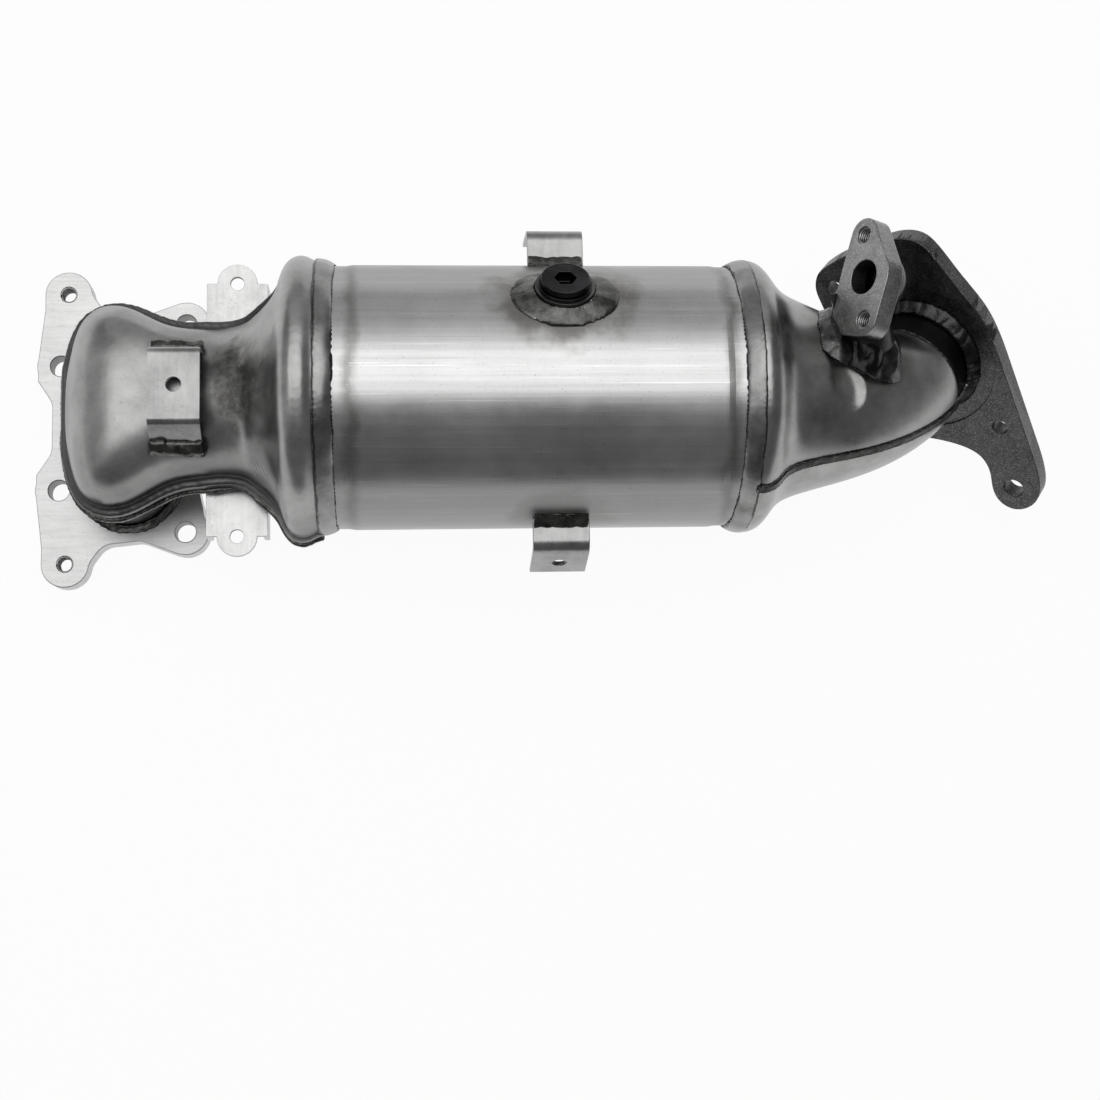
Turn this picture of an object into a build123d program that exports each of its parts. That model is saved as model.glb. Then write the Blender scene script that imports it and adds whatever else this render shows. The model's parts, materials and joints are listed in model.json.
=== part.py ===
from build123d import *
import math
import os

os.makedirs("parts", exist_ok=True)

# Manifold catalytic converter. Millimetres, +Z up.
# Origin: centre of the inlet port on the mounting face of the inlet flange.
# +X runs along the can from inlet to outlet, the mounting face looks down (-Z).

# sizes that several pieces share
can_radius = 63.5
can_wall = 1.5
can_end_step = 0.5
can_axis_height = 78.0
can_start = 95.0
can_end = 308.0
slip_gap = 0.25
shell_wall = 2.0
plate_thickness = 12.0
port_width = 41.0
port_length = 96.0
seam_tilt = 13.2
outlet_start = 303.0
outlet_turn_end = 388.6
outlet_turn_aside = 12.5
outlet_turn_angle = 55.4
outlet_roll = 37.4
bracket_gauge = 2.5

can_end_radius = can_radius - can_end_step
sleeve_radius = can_end_radius + slip_gap + shell_wall


def axis_cylinder(x_from, x_to, radius):
    """Solid cylinder about the can's axis."""
    with BuildPart() as cylinder:
        with BuildSketch(Plane.YZ.offset(x_from)):
            with Locations((0, can_axis_height)):
                Circle(radius)
        extrude(amount=x_to - x_from)
    return cylinder.part


# inlet duct: the hollow that both inlet shells are pressed to
# Each row: place along X, half width, top height, bottom height, squareness of the section.
neck_rows = [
    (-25.5, 18.0, 61.0, 40.0, 2.2),
    (-23.5, 29.5, 68.5, 33.0, 2.5),
    (-19.5, 40.5, 77.0, 26.0, 2.8),
    (-12.0, 48.5, 87.0, 20.5, 3.0),
    (0.0, 51.5, 94.0, 19.0, 3.0),
    (16.0, 46.5, 97.5, 20.0, 2.8),
    (36.0, 39.5, 99.5, 25.5, 2.4),
    (54.0, 38.8, 103.0, 28.5, 2.1),
    (67.0, 42.5, 111.5, 27.0, 2.0),
    (76.5, 50.0, 124.5, 20.5, 2.0),
]
bell_swell = 2.6
bell_rows = [
    (83.0, can_radius - 3.3),
    (88.5, can_radius + 3.2),
    (93.5, sleeve_radius + bell_swell),
    (98.5, sleeve_radius + 0.6),
    (102.0, sleeve_radius),
]
duct_rows = neck_rows + [
    (x, r, can_axis_height + r, can_axis_height - r, 2.0) for x, r in bell_rows
]
section_points = 16
section_start = 20.0


def oval_points(half_width, top, bottom, squareness):
    """Points of a squared-off oval, as (Y, Z)."""
    middle = (top + bottom) / 2
    half_height = (top - bottom) / 2
    points = []
    for k in range(section_points):
        angle = 2 * math.pi * k / section_points
        c, s = math.cos(angle), math.sin(angle)
        y = half_width * math.copysign(abs(c) ** (2 / squareness), c)
        z = middle + half_height * math.copysign(abs(s) ** (2 / squareness), s)
        points.append((y, z))
    return points


def grown_rows(grow, inset):
    """The duct's rows moved outwards by grow; the inset dies out towards the bell.

    Only the rows round the nose, left of the port's centre, also move along X.
    """
    rows = []
    for k, (x, half_width, top, bottom, squareness) in enumerate(duct_rows):
        fade = min(1.0, max(0.0, (bell_rows[1][0] - x) / 18))
        before = duct_rows[max(k - 1, 0)]
        after = duct_rows[min(k + 1, len(duct_rows) - 1)]
        slope = math.atan2(after[1] - before[1], after[0] - before[0])
        move = grow - inset * fade
        if k == 0:
            dx, dr = -move, 0
        elif x < 0:
            dx, dr = -move * math.sin(slope), move * math.cos(slope)
        elif k < len(duct_rows) - 2:
            dx, dr = 0, move / math.cos(slope)
        else:
            dx, dr = 0, move
        rows.append((x + dx, half_width + dr, top + dr, bottom - dr, squareness))
    return rows


def inlet_duct(grow, inset=0.0):
    """The inlet duct's outer form, grown or shrunk by a wall."""
    with BuildPart() as duct:
        for x, half_width, top, bottom, squareness in grown_rows(grow, inset):
            with BuildSketch(Plane.YZ.offset(x)):
                with BuildLine():
                    Spline(*oval_points(half_width, top, bottom, squareness), periodic=True)
                make_face()
        loft()
    return duct.part


# The foot is the straight throat that stands on the flange round the port.
foot_wall_gap = 1.0
foot_top = 44.0


def inlet_foot(grow, z_from):
    """Straight throat round the port."""
    with BuildPart() as foot:
        with BuildSketch(Plane.XY.offset(z_from)):
            width = port_width + 2 * foot_wall_gap + 2 * grow
            length = port_length + 2 * foot_wall_gap + 2 * grow
            SlotOverall(length, width, rotation=90)
        extrude(amount=foot_top - z_from)
    return foot.part


seam_plane = Plane(
    origin=(can_start, 0, can_axis_height),
    x_dir=(math.cos(math.radians(seam_tilt)), 0, math.sin(math.radians(seam_tilt))),
    z_dir=(-math.sin(math.radians(seam_tilt)), 0, math.cos(math.radians(seam_tilt))),
)
lip_width = 5.0
seam_bead_width = 4.0
seam_bead_height = 3.6


def seam_slab(low, high):
    """Slice of space between two heights above the inlet seam plane."""
    with BuildPart() as slab:
        with BuildSketch(seam_plane.offset(low)):
            Rectangle(700, 400)
        extrude(amount=high - low)
    return slab.part


dome_inset = 2.6
duct_skin = inlet_duct(0)
duct_hollow = inlet_duct(-shell_wall)
dome_skin = inlet_duct(0, dome_inset)
dome_hollow = inlet_duct(-shell_wall, dome_inset)
duct_lip = inlet_duct(shell_wall)
duct_bead = inlet_duct(seam_bead_height)

# inlet flange
left_stud_x = -35.5
left_stud_pitch = 65.0
right_stud_x = 28.4
right_stud_pitch = 109.0
stud_hole = 10.5
tapped_x = -32.0
tapped_pitch = 141.0
tapped_hole = 8.0
ear_radius = 12.0
plate_corner = 10.0

with BuildPart() as inlet_flange:
    with BuildSketch(Plane.XY):
        for side in (-1, 1):
            with Locations((left_stud_x, side * left_stud_pitch / 2)):
                Circle(ear_radius)
            with Locations((right_stud_x, side * right_stud_pitch / 2)):
                Circle(ear_radius)
            with Locations((tapped_x, side * tapped_pitch / 2)):
                Circle(ear_radius)
        with BuildLine():
            Polyline(
                (left_stud_x - ear_radius * 0.96, left_stud_pitch / 2 + 3),
                (tapped_x - ear_radius * 0.99, tapped_pitch / 2 - 8),
                (tapped_x - ear_radius, tapped_pitch / 2),
                (tapped_x + ear_radius, tapped_pitch / 2),
                (-13, 61),
                (6, 59),
                (right_stud_x - 4, right_stud_pitch / 2 + ear_radius * 0.95),
                (right_stud_x + ear_radius * 0.9, right_stud_pitch / 2 + 3),
                (right_stud_x + ear_radius * 0.75, right_stud_pitch / 2 - 12),
                (port_width / 2 + 12.5, 22),
                (port_width / 2 + 12.5, -22),
                (right_stud_x + ear_radius * 0.75, -right_stud_pitch / 2 + 12),
                (right_stud_x + ear_radius * 0.9, -right_stud_pitch / 2 - 3),
                (right_stud_x - 4, -right_stud_pitch / 2 - ear_radius * 0.95),
                (6, -59),
                (-13, -61),
                (tapped_x + ear_radius, -tapped_pitch / 2),
                (tapped_x - ear_radius, -tapped_pitch / 2),
                (tapped_x - ear_radius * 0.99, -tapped_pitch / 2 + 8),
                (left_stud_x - ear_radius * 0.96, -left_stud_pitch / 2 - 3),
                (left_stud_x - ear_radius * 0.96, -left_stud_pitch / 2 + 8),
                (left_stud_x - 4, -13),
                (left_stud_x - 4, 13),
                (left_stud_x - ear_radius * 0.96, left_stud_pitch / 2 - 8),
                close=True,
            )
        make_face()
        offset(amount=plate_corner)
        offset(amount=-plate_corner)
    extrude(amount=plate_thickness)
    with BuildSketch(Plane.XY):
        SlotOverall(port_length, port_width, rotation=90)
        for side in (-1, 1):
            with Locations(
                (left_stud_x, side * left_stud_pitch / 2),
                (right_stud_x, side * right_stud_pitch / 2),
            ):
                Circle(stud_hole / 2)
            with Locations((tapped_x, side * tapped_pitch / 2)):
                Circle(tapped_hole / 2)
    extrude(amount=plate_thickness, mode=Mode.SUBTRACT)
inlet_flange.part.label = "inlet_flange"
export_step(inlet_flange.part, "parts/inlet_flange.step")

# inlet shells: two pressings, the front one laps over the rear one
with BuildPart() as dome_room:
    add(dome_hollow)
    add(seam_slab(0, 200), mode=Mode.INTERSECT)
with BuildPart() as skirt_room:
    add(duct_skin)
    add(seam_slab(-200, 0), mode=Mode.INTERSECT)
with BuildPart() as dome:
    add(dome_skin)
    add(seam_slab(0, 200), mode=Mode.INTERSECT)
with BuildPart() as inlet_shell_front:
    add(duct_lip)
    add(seam_slab(-lip_width, shell_wall), mode=Mode.INTERSECT)
    add(dome.part)
    add(dome_room.part, mode=Mode.SUBTRACT)
    add(skirt_room.part, mode=Mode.SUBTRACT)
inlet_shell_front.part.label = "inlet_shell_front"
export_step(inlet_shell_front.part, "parts/inlet_shell_front.step")

with BuildPart() as inlet_shell_rear:
    add(duct_skin)
    add(inlet_foot(shell_wall, plate_thickness))
    add(duct_hollow, mode=Mode.SUBTRACT)
    add(inlet_foot(0, plate_thickness), mode=Mode.SUBTRACT)
    add(seam_slab(0, 300), mode=Mode.SUBTRACT)
inlet_shell_rear.part.label = "inlet_shell_rear"
export_step(inlet_shell_rear.part, "parts/inlet_shell_rear.step")

with BuildPart() as inlet_seam_weld:
    add(duct_bead)
    add(seam_slab(-lip_width - seam_bead_width, -lip_width), mode=Mode.INTERSECT)
    add(skirt_room.part, mode=Mode.SUBTRACT)
    add(inlet_foot(shell_wall, plate_thickness), mode=Mode.SUBTRACT)
inlet_seam_weld.part.label = "inlet_seam_weld"
export_step(inlet_seam_weld.part, "parts/inlet_seam_weld.step")

# weld between the throat and the flange
flange_bead = 5.0
with BuildPart() as inlet_flange_weld:
    with BuildSketch(Plane.XY.offset(plate_thickness)):
        grow = foot_wall_gap + shell_wall + flange_bead
        SlotOverall(port_length + 2 * grow, port_width + 2 * grow, rotation=90)
    with BuildSketch(Plane.XY.offset(plate_thickness + flange_bead)):
        grow = foot_wall_gap + shell_wall + 1.0
        SlotOverall(port_length + 2 * grow, port_width + 2 * grow, rotation=90)
    loft(ruled=True)
    add(inlet_foot(shell_wall, plate_thickness), mode=Mode.SUBTRACT)
    add(duct_skin, mode=Mode.SUBTRACT)
inlet_flange_weld.part.label = "inlet_flange_weld"
export_step(inlet_flange_weld.part, "parts/inlet_flange_weld.step")

# can
swage_length = 3.0
inlet_swage = 114.0
outlet_swage = 291.0
bung_x = 214.8
bung_angle = 36.0
bung_bore = 18.0

with BuildPart() as can_body:
    with BuildSketch(Plane.XZ):
        with BuildLine():
            Polyline(
                (can_start, can_axis_height + can_end_radius),
                (inlet_swage, can_axis_height + can_end_radius),
                (inlet_swage + swage_length, can_axis_height + can_radius),
                (outlet_swage - swage_length, can_axis_height + can_radius),
                (outlet_swage, can_axis_height + can_end_radius),
                (can_end, can_axis_height + can_end_radius),
                (can_end, can_axis_height + can_end_radius - can_wall),
                (outlet_swage, can_axis_height + can_end_radius - can_wall),
                (outlet_swage - swage_length, can_axis_height + can_radius - can_wall),
                (inlet_swage + swage_length, can_axis_height + can_radius - can_wall),
                (inlet_swage, can_axis_height + can_end_radius - can_wall),
                (can_start, can_axis_height + can_end_radius - can_wall),
                close=True,
            )
        make_face()
    revolve(axis=Axis((0, 0, can_axis_height), (1, 0, 0)))
bung_direction = Vector(
    0, math.sin(math.radians(bung_angle)), math.cos(math.radians(bung_angle))
)
bung_plane = Plane(
    origin=Vector(bung_x, 0, can_axis_height) + bung_direction * can_radius,
    x_dir=(1, 0, 0),
    z_dir=bung_direction,
)
with BuildPart() as can_drilled:
    add(can_body.part)
    with BuildSketch(bung_plane.offset(-8)):
        Circle(bung_bore / 2)
    extrude(amount=12, mode=Mode.SUBTRACT)
can_drilled.part.label = "can_body"
export_step(can_drilled.part, "parts/can_body.step")

# lengthwise seam of the can, on the side that faces the floor
can_seam_width = 4.0
can_seam_height = 0.8
with BuildPart() as can_seam_weld:
    with BuildSketch(Plane.YZ.offset(inlet_swage + swage_length)):
        with Locations((0, can_axis_height - can_radius)):
            Ellipse(can_seam_width / 2, can_seam_height)
    extrude(amount=outlet_swage - inlet_swage - 2 * swage_length)
    add(axis_cylinder(can_start, can_end, can_radius), mode=Mode.SUBTRACT)
can_seam_weld.part.label = "can_seam_weld"
export_step(can_seam_weld.part, "parts/can_seam_weld.step")

# ceramic bricks and their mats
mat_thickness = 3.5
brick_radius = can_radius - can_wall - mat_thickness
front_brick_start = 118.0
front_brick_length = 80.0
rear_brick_length = 56.0
rear_brick_start = outlet_swage - swage_length - rear_brick_length - 1
mat_margin = 4.0


def ring(x_from, length, outer, inner):
    """Plain ring about the can's axis."""
    with BuildPart() as piece:
        add(axis_cylinder(x_from, x_from + length, outer))
        add(axis_cylinder(x_from, x_from + length, inner), mode=Mode.SUBTRACT)
    return piece.part


front_brick_end = front_brick_start + front_brick_length
front_brick = axis_cylinder(front_brick_start, front_brick_end, brick_radius)
front_brick.label = "front_brick"
export_step(front_brick, "parts/front_brick.step")

rear_brick_end = rear_brick_start + rear_brick_length
rear_brick = axis_cylinder(rear_brick_start, rear_brick_end, brick_radius)
rear_brick.label = "rear_brick"
export_step(rear_brick, "parts/rear_brick.step")

front_mat = ring(
    front_brick_start + mat_margin,
    front_brick_length - 2 * mat_margin,
    can_radius - can_wall,
    brick_radius,
)
front_mat.label = "front_mat"
export_step(front_mat, "parts/front_mat.step")

rear_mat = ring(
    rear_brick_start + mat_margin,
    rear_brick_length - 2 * mat_margin,
    can_radius - can_wall,
    brick_radius,
)
rear_mat.label = "rear_mat"
export_step(rear_mat, "parts/rear_mat.step")

# ring welds at both ends of the can
ring_bead_width = 7.5
ring_bead_rise = 1.2


def ring_bead(x_sleeve, x_toe):
    """Fillet weld from a sleeve's end down to the can."""
    low = can_axis_height + can_end_radius
    high = can_axis_height + sleeve_radius + ring_bead_rise
    with BuildPart() as bead:
        with BuildSketch(Plane.XZ):
            with BuildLine():
                Line((x_sleeve, low), (x_sleeve, high))
                ThreePointArc(
                    (x_sleeve, high),
                    (x_sleeve + (x_toe - x_sleeve) * 0.6, low + (high - low) * 0.72),
                    (x_toe, low),
                )
                Line((x_toe, low), (x_sleeve, low))
            make_face()
        revolve(axis=Axis((0, 0, can_axis_height), (1, 0, 0)))
    return bead.part


inlet_ring_x = bell_rows[-1][0]
inlet_ring_weld = ring_bead(inlet_ring_x, inlet_ring_x + ring_bead_width)
inlet_ring_weld.label = "inlet_ring_weld"
export_step(inlet_ring_weld, "parts/inlet_ring_weld.step")
outlet_ring_weld = ring_bead(outlet_start, outlet_start - ring_bead_width)
outlet_ring_weld.label = "outlet_ring_weld"
export_step(outlet_ring_weld, "parts/outlet_ring_weld.step")

# outlet duct: funnel, then a bend down to the outlet flange
roll_cos = math.cos(math.radians(outlet_roll))
roll_sin = math.sin(math.radians(outlet_roll))
bend_side = Vector(0, roll_cos, -roll_sin)
bend_normal = Vector(0, roll_sin, roll_cos)
pipe_radius = 27.7
pipe_wall = 2.0
pipe_slip_gap = 0.5
pipe_sleeve = pipe_radius + pipe_slip_gap + shell_wall
sleeve_length = 6.0
pipe_insert = 4.0
pipe_stand = 22.0
outlet_plate = 10.0
turn_cos = math.cos(math.radians(outlet_turn_angle))
turn_sin = math.sin(math.radians(outlet_turn_angle))
# Each row: place along X, place aside, turn of the section in degrees, radius.
outlet_rows = [
    (outlet_start, 0.0, 0.0, sleeve_radius),
    (outlet_start + 6.5, 0.0, 0.0, sleeve_radius + 0.2),
    (outlet_start + 11, 0.0, 0.0, sleeve_radius - 3.4),
    (outlet_start + 15, 0.0, 0.0, sleeve_radius - 8.6),
    (outlet_start + 19, 0.0, 0.5, sleeve_radius - 12.6),
    (outlet_start + 24, 0.0, 2.0, sleeve_radius - 15.6),
    (334.0, 0.0, 5.0, 47.0),
    (345.0, 0.0, 12.0, 43.5),
    (357.0, 0.5, 23.0, 39.8),
    (368.0, 2.0, 34.0, 36.2),
    (378.0, 4.5, 45.0, 32.6),
    (
        outlet_turn_end - sleeve_length * turn_cos,
        outlet_turn_aside - sleeve_length * turn_sin,
        outlet_turn_angle,
        pipe_sleeve,
    ),
    (outlet_turn_end, outlet_turn_aside, outlet_turn_angle, pipe_sleeve),
]


def outlet_section(along, aside, turn):
    """Plane square to the outlet duct, given in its plane of symmetry."""
    angle = math.radians(turn)
    point = Vector(along, 0, can_axis_height) + bend_side * aside
    direction = Vector(math.cos(angle), 0, 0) + bend_side * math.sin(angle)
    return Plane(origin=point, x_dir=bend_normal, z_dir=direction)


def round_points(radius):
    """Points of a circle, none of them on the seam plane."""
    points = []
    for k in range(section_points):
        angle = math.radians(section_start + 360 * k / section_points)
        points.append((radius * math.cos(angle), radius * math.sin(angle)))
    return points


def outlet_duct(grow):
    """The outlet duct's outer form, grown or shrunk by a wall."""
    with BuildPart() as duct:
        for k, (along, aside, turn, radius) in enumerate(outlet_rows):
            before = outlet_rows[max(k - 1, 0)]
            after = outlet_rows[min(k + 1, len(outlet_rows) - 1)]
            slope = math.atan2(after[3] - before[3], after[0] - before[0])
            shift = -grow * math.sin(slope)
            change = grow * math.cos(slope)
            if k == 0 or k >= len(outlet_rows) - 2:
                shift, change = 0, grow
            with BuildSketch(outlet_section(along, aside, turn).offset(shift)):
                with BuildLine():
                    Spline(*round_points(radius + change), periodic=True)
                make_face()
        loft()
    return duct.part


bend_plane = Plane(
    origin=(outlet_start, 0, can_axis_height), x_dir=(1, 0, 0), z_dir=bend_normal
)
outlet_skin = outlet_duct(0)
outlet_hollow = outlet_duct(-shell_wall)


def outlet_slab(low, high):
    """Slice of space between two heights above the outlet seam plane."""
    with BuildPart() as slab:
        with BuildSketch(bend_plane.offset(low)):
            Rectangle(500, 500)
        extrude(amount=high - low)
    return slab.part


# The small flange for exhaust gas recirculation stands on the front shell.
egr_normal = Vector(-0.853, 0.081, 0.515).normalized()
egr_up = Vector(0.07, 0.997, -0.041)
egr_face = Vector(354.1, 44.2, 134.0)
egr_thickness = 10.0
egr_pitch = 41.0
egr_bore = 16.0
egr_tapped = 8.0
egr_end_radius = 8.2
egr_waist = 31.0
egr_lobe = (-15.0, 9.0)
egr_lobe_radius = 11.0
stub_radius = 14.5
stub_foot_radius = 18.0
stub_foot = Vector(357.0, 20.0, 106.0)
stub_corner_leg = 8.0
egr_plane = Plane(
    origin=egr_face, x_dir=egr_up - egr_normal * egr_up.dot(egr_normal), z_dir=egr_normal
)
egr_back = egr_face - egr_normal * egr_thickness
stub_corner = egr_back - egr_normal * stub_corner_leg
stub_length = (stub_corner - stub_foot).length
stub_direction = (stub_corner - stub_foot).normalized()
stub_plane = Plane(origin=stub_foot, z_dir=stub_direction)
stub_root = 12.0
passage_root = 26.0


def stub_body(foot_radius, radius, root):
    """Elbow from the duct up to the small flange; its root reaches into the duct."""
    with BuildPart() as stub:
        with BuildSketch(stub_plane):
            Circle(foot_radius)
        with BuildSketch(stub_plane.offset(stub_length)):
            Circle(radius)
        loft()
        with BuildSketch(stub_plane):
            Circle(foot_radius)
        extrude(amount=-root)
        with Locations(stub_corner):
            Sphere(radius)
        with BuildSketch(Plane(origin=stub_corner, z_dir=egr_normal)):
            Circle(radius)
        extrude(amount=stub_corner_leg)
    return stub.part


egr_passage = stub_body(egr_bore / 2, egr_bore / 2, passage_root)


def outlet_half(slab):
    """One outlet pressing: the skin on one side of the seam, less the hollow."""
    with BuildPart() as room:
        add(outlet_hollow)
        add(slab, mode=Mode.INTERSECT)
    with BuildPart() as half:
        add(outlet_skin)
        add(slab, mode=Mode.INTERSECT)
        add(room.part, mode=Mode.SUBTRACT)
    return half.part


with BuildPart() as outlet_shell_front:
    add(outlet_half(outlet_slab(0, 200)))
    add(egr_passage, mode=Mode.SUBTRACT)
outlet_shell_front.part.label = "outlet_shell_front"
export_step(outlet_shell_front.part, "parts/outlet_shell_front.step")
outlet_shell_rear = outlet_half(outlet_slab(-200, 0))
outlet_shell_rear.label = "outlet_shell_rear"
export_step(outlet_shell_rear, "parts/outlet_shell_rear.step")

outlet_bead_width = 5.0
outlet_bead_height = 1.8
outlet_bead_skin = outlet_duct(outlet_bead_height)
with BuildPart() as outlet_bead_room:
    add(outlet_skin)
    add(outlet_slab(-outlet_bead_width, outlet_bead_width), mode=Mode.INTERSECT)
with BuildPart() as outlet_seam_weld:
    add(outlet_bead_skin)
    add(outlet_slab(-outlet_bead_width / 2, outlet_bead_width / 2), mode=Mode.INTERSECT)
    add(outlet_bead_room.part, mode=Mode.SUBTRACT)
seam_beads = outlet_seam_weld.part.solids().sort_by(Axis.Y)
outer_seam_bead = seam_beads[0]
outer_seam_bead.label = "outlet_seam_weld_outer"
export_step(outer_seam_bead, "parts/outlet_seam_weld_outer.step")
inner_seam_bead = seam_beads[-1]
inner_seam_bead.label = "outlet_seam_weld_inner"
export_step(inner_seam_bead, "parts/outlet_seam_weld_inner.step")

# small flange, its stub and the stub's weld
with BuildPart() as egr_blank:
    with BuildSketch(egr_plane.offset(-egr_thickness)):
        for side in (-1, 1):
            with Locations((side * egr_pitch / 2, 0)):
                Circle(egr_end_radius)
        with Locations(egr_lobe):
            Circle(egr_lobe_radius)
        Circle(egr_waist / 2)
        make_hull()
    extrude(amount=egr_thickness)
stub_bar = stub_body(stub_foot_radius, stub_radius, stub_root)

with BuildPart() as egr_stub:
    add(stub_bar)
    add(egr_blank.part, mode=Mode.SUBTRACT)
    with BuildSketch(egr_plane):
        Circle(egr_waist)
    extrude(amount=egr_thickness, mode=Mode.SUBTRACT)
    add(outlet_skin, mode=Mode.SUBTRACT)
    add(egr_passage, mode=Mode.SUBTRACT)
egr_stub.part.label = "egr_stub"
export_step(egr_stub.part, "parts/egr_stub.step")

stub_bead = 11.0
stub_bead_low = -4.0
stub_bead_high = 12.0
with BuildPart() as egr_stub_weld:
    with BuildSketch(stub_plane.offset(stub_bead_low)):
        Circle(stub_foot_radius + stub_bead)
    with BuildSketch(stub_plane.offset(stub_bead_high)):
        Circle(stub_foot_radius - 1.0)
    loft()
    add(stub_bar, mode=Mode.SUBTRACT)
    add(egr_blank.part, mode=Mode.SUBTRACT)
    add(outlet_skin, mode=Mode.SUBTRACT)
egr_stub_weld.part.label = "egr_stub_weld"
export_step(egr_stub_weld.part, "parts/egr_stub_weld.step")

with BuildPart() as egr_flange:
    add(egr_blank.part)
    with BuildSketch(egr_plane.offset(-egr_thickness)):
        Circle(egr_bore / 2)
        with Locations((-egr_pitch / 2, 0), (egr_pitch / 2, 0)):
            Circle(egr_tapped / 2)
    extrude(amount=egr_thickness, mode=Mode.SUBTRACT)
egr_flange.part.label = "egr_flange"
export_step(egr_flange.part, "parts/egr_flange.step")

# outlet flange with its pipe end
outlet_turn = 114.0
outlet_pitch = 110.0
outlet_tapped = 8.0
tab_hole = 10.5
tab_centre = (83.4, 24.5)
lobe_radius = 11.5
recess_radius = 40.6
recess_depth = 1.0
pipe_plane = outlet_section(outlet_turn_end, outlet_turn_aside, outlet_turn_angle)
outlet_direction = pipe_plane.z_dir
turn_angle = math.radians(outlet_turn)
outlet_face_plane = Plane(
    origin=pipe_plane.origin + outlet_direction * pipe_stand,
    x_dir=bend_normal * math.cos(turn_angle)
    + outlet_direction.cross(bend_normal) * math.sin(turn_angle),
    z_dir=outlet_direction,
)
outlet_outline = [
    (-66.0, -4.0),
    (-62.5, -17.0),
    (-55.0, -34.0),
    (-48.0, -47.0),
    (-39.0, -53.5),
    (-30.0, -53.2),
    (-14.0, -49.2),
    (9.0, -43.4),
    (20.0, -38.0),
    (42.0, -23.5),
    (74.0, -1.6),
    (88.0, 9.0),
    (95.5, 19.0),
    (95.8, 29.0),
    (91.0, 35.5),
    (83.0, 36.8),
    (75.5, 32.8),
    (68.8, 26.4),
    (59.4, 22.4),
    (48.0, 25.4),
    (36.7, 32.8),
    (26.0, 41.0),
    (14.0, 47.0),
    (0.0, 49.0),
    (-14.0, 46.5),
    (-28.0, 39.5),
    (-41.0, 27.5),
    (-51.0, 15.5),
    (-62.0, 8.0),
]

with BuildPart() as outlet_flange:
    with BuildSketch(outlet_face_plane):
        with BuildLine():
            Spline(*outlet_outline, periodic=True)
        make_face()
    extrude(amount=outlet_plate)
    with BuildSketch(outlet_face_plane):
        Circle(recess_radius)
    extrude(amount=recess_depth, mode=Mode.SUBTRACT)
    with BuildSketch(outlet_face_plane):
        Circle(pipe_radius + slip_gap)
        with Locations((-outlet_pitch / 2, 0), (outlet_pitch / 2, 0)):
            Circle(outlet_tapped / 2)
        with Locations(tab_centre):
            Circle(tab_hole / 2)
    extrude(amount=outlet_plate, mode=Mode.SUBTRACT)
outlet_flange.part.label = "outlet_flange"
export_step(outlet_flange.part, "parts/outlet_flange.step")

# pipe end: a short tube from inside the shells to the outlet face
with BuildPart() as outlet_pipe:
    with BuildSketch(outlet_face_plane.offset(-pipe_stand - pipe_insert)):
        Circle(pipe_radius)
        Circle(pipe_radius - pipe_wall, mode=Mode.SUBTRACT)
    extrude(amount=pipe_insert + pipe_stand + outlet_plate)
outlet_pipe.part.label = "outlet_pipe"
export_step(outlet_pipe.part, "parts/outlet_pipe.step")

pipe_bead = 6.0
with BuildPart() as outlet_flange_weld:
    with BuildSketch(outlet_face_plane.offset(recess_depth)):
        Circle(pipe_radius + pipe_bead)
    with BuildSketch(outlet_face_plane.offset(recess_depth - pipe_bead)):
        Circle(pipe_radius + 1.2)
    loft()
    with BuildSketch(outlet_face_plane.offset(recess_depth)):
        Circle(pipe_radius)
    extrude(amount=-pipe_bead, mode=Mode.SUBTRACT)
outlet_flange_weld.part.label = "outlet_flange_weld"
export_step(outlet_flange_weld.part, "parts/outlet_flange_weld.step")

sleeve_bead = 2.2
with BuildPart() as outlet_sleeve_weld:
    with BuildSketch(pipe_plane):
        Circle(pipe_sleeve - 0.2)
    with BuildSketch(pipe_plane.offset(sleeve_bead)):
        Circle(pipe_radius + 0.5)
    loft()
    with BuildSketch(pipe_plane):
        Circle(pipe_radius)
    extrude(amount=sleeve_bead, mode=Mode.SUBTRACT)
outlet_sleeve_weld.part.label = "outlet_sleeve_weld"
export_step(outlet_sleeve_weld.part, "parts/outlet_sleeve_weld.step")

# sensor bung, its weld, and the plug that closes it
bung_radius = 13.9
bung_height = 4.5
washer_radius = 12.4
washer_thickness = 1.2
plug_radius = 11.3
plug_head = 3.4
plug_socket = 9.0
plug_socket_depth = 5.5
plug_shank = 15.0
thread_gap = 0.1

can_filled = axis_cylinder(can_start, can_end, can_radius)

with BuildPart() as sensor_bung:
    with BuildSketch(bung_plane.offset(-8)):
        Circle(bung_radius)
    extrude(amount=8 + bung_height)
    add(can_filled, mode=Mode.SUBTRACT)
    with BuildSketch(bung_plane.offset(-8)):
        Circle(bung_bore / 2)
    extrude(amount=8 + bung_height, mode=Mode.SUBTRACT)
sensor_bung.part.label = "sensor_bung"
export_step(sensor_bung.part, "parts/sensor_bung.step")

bung_weld_length = 28.0
bung_weld_width = 21.0
with BuildPart() as bung_weld:
    with BuildSketch(bung_plane.offset(-3.8)):
        Ellipse(bung_weld_length, bung_weld_width)
    with BuildSketch(bung_plane.offset(bung_height - 1.0)):
        Circle(bung_radius + 0.5)
    loft()
    add(can_filled, mode=Mode.SUBTRACT)
    with BuildSketch(bung_plane.offset(-8)):
        Circle(bung_radius)
    extrude(amount=8 + bung_height, mode=Mode.SUBTRACT)
bung_weld.part.label = "bung_weld"
export_step(bung_weld.part, "parts/bung_weld.step")

with BuildPart() as plug_washer:
    with BuildSketch(bung_plane.offset(bung_height)):
        Circle(washer_radius)
        Circle(bung_bore / 2, mode=Mode.SUBTRACT)
    extrude(amount=washer_thickness)
plug_washer.part.label = "plug_washer"
export_step(plug_washer.part, "parts/plug_washer.step")

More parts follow.
